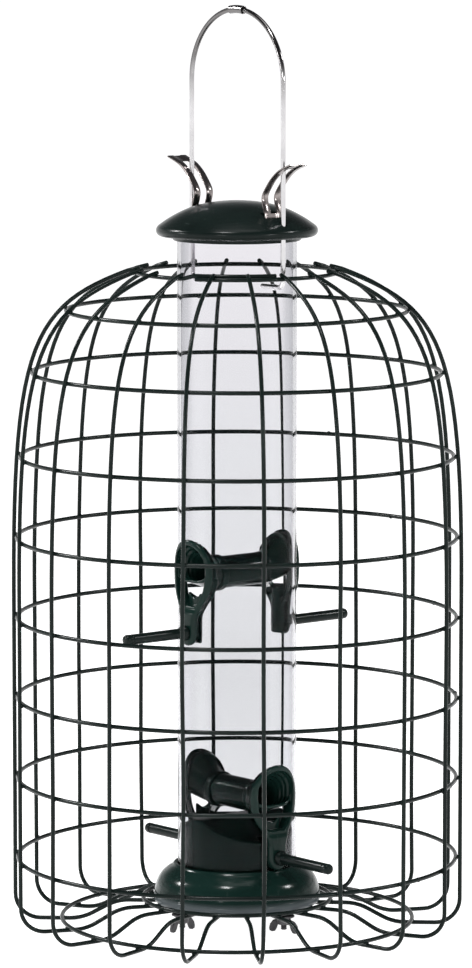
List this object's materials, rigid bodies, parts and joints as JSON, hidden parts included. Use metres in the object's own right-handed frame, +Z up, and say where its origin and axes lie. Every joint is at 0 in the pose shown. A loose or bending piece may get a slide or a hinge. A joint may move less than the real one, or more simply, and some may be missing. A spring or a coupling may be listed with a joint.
{
  "type": "caged tube bird feeder",
  "caption": "Hanging seed feeder: a clear tube with hooded ports and perches inside a round dark green wire cage, with a lift-up cap on a wire bail.",
  "frame": {"origin": "centre of the cage's base, on the surface it stands on", "axes": "+Z up along the seed tube; +X along the lower pair of ports and the plane of the bail; the upper pair of ports along Y"},
  "size_m": [0.252, 0.2534, 0.517],
  "materials": {
    "dark_green_paint": "gloss dark green paint on steel wire and sheet",
    "dark_green_moulding": "gloss dark green moulding",
    "clear_tube": "clear plastic tube with a faint grey-lilac tint",
    "polished_steel": "bright nickel-plated steel",
    "dark_zinc": "dark plated fasteners"
  },
  "bodies": {
    "feeder": {"cage_upright_01": "dark_green_paint", "cage_upright_02": "dark_green_paint", "cage_upright_03": "dark_green_paint", "cage_upright_04": "dark_green_paint", "cage_upright_05": "dark_green_paint", "cage_upright_06": "dark_green_paint", "cage_upright_07": "dark_green_paint", "cage_upright_08": "dark_green_paint", "cage_upright_09": "dark_green_paint", "cage_upright_10": "dark_green_paint", "cage_upright_11": "dark_green_paint", "cage_upright_12": "dark_green_paint", "cage_upright_13": "dark_green_paint", "cage_upright_14": "dark_green_paint", "cage_upright_15": "dark_green_paint", "cage_upright_16": "dark_green_paint", "cage_upright_17": "dark_green_paint", "cage_upright_18": "dark_green_paint", "cage_ring_1": "dark_green_paint", "cage_ring_2": "dark_green_paint", "cage_ring_3": "dark_green_paint", "cage_ring_4": "dark_green_paint", "cage_ring_5": "dark_green_paint", "cage_ring_6": "dark_green_paint", "cage_ring_7": "dark_green_paint", "cage_ring_8": "dark_green_paint", "collar_ring": "dark_green_paint", "floor_ring": "dark_green_paint", "hub_ring_outer": "dark_green_paint", "hub_ring_inner": "dark_green_paint", "base_housing": "dark_green_moulding", "base_plug": "dark_green_moulding", "seed_tube": "clear_tube", "lower_port_front": "dark_green_moulding", "lower_port_back": "dark_green_moulding", "upper_port_front": "dark_green_moulding", "upper_port_back": "dark_green_moulding", "lower_perch_front": "dark_green_paint", "lower_perch_back": "dark_green_paint", "upper_perch_front": "dark_green_paint", "upper_perch_back": "dark_green_paint", "cage_screw_1": "dark_zinc", "cage_screw_2": "dark_zinc", "cage_screw_3": "dark_zinc", "cage_screw_4": "dark_zinc", "washer_1": "dark_zinc", "washer_2": "dark_zinc", "washer_3": "dark_zinc", "washer_4": "dark_zinc"},
    "bail": {"bail": "polished_steel", "hanger_sleeve": "polished_steel"},
    "cap": {"cap_dome": "dark_green_paint", "cap_liner": "dark_green_paint"},
    "latch_front": {"latch_tab_front": "polished_steel"},
    "latch_back": {"latch_tab_back": "polished_steel"},
    "wing_nut_1": {"wing_nut_1": "dark_zinc"},
    "wing_nut_2": {"wing_nut_2": "dark_zinc"},
    "wing_nut_3": {"wing_nut_3": "dark_zinc"},
    "wing_nut_4": {"wing_nut_4": "dark_zinc"}
  },
  "joints": [
    {"name": "bail_rock", "type": "hinge", "parent": "feeder", "child": "bail", "pos_m": [0, 0, 0.362], "axis": [1, 0, 0], "range_deg": [-2, 2]},
    {"name": "cap_lift", "type": "slide", "parent": "bail", "child": "cap", "axis": [0, 0, 1], "range_m": [0, 0.045]},
    {"name": "latch_front_pinch", "type": "hinge", "parent": "cap", "child": "latch_front", "pos_m": [0.0318, 0, 0.3998], "axis": [0, -1, 0], "range_deg": [0, 8], "stiffness_Nm_per_rad": 0.5},
    {"name": "latch_back_pinch", "type": "hinge", "parent": "cap", "child": "latch_back", "pos_m": [-0.0318, 0, 0.3998], "axis": [0, 1, 0], "range_deg": [0, 8], "stiffness_Nm_per_rad": 0.5},
    {"name": "wing_nut_1_spin", "type": "hinge", "parent": "feeder", "child": "wing_nut_1", "pos_m": [0.041, 0, 0.006], "axis": [0, 0, 1], "continuous": true},
    {"name": "wing_nut_2_spin", "type": "hinge", "parent": "feeder", "child": "wing_nut_2", "pos_m": [-0.00143, 0.04098, 0.006], "axis": [0, 0, 1], "continuous": true},
    {"name": "wing_nut_3_spin", "type": "hinge", "parent": "feeder", "child": "wing_nut_3", "pos_m": [-0.041, 0, 0.006], "axis": [0, 0, 1], "continuous": true},
    {"name": "wing_nut_4_spin", "type": "hinge", "parent": "feeder", "child": "wing_nut_4", "pos_m": [0.00143, -0.04098, 0.006], "axis": [0, 0, 1], "continuous": true}
  ]
}
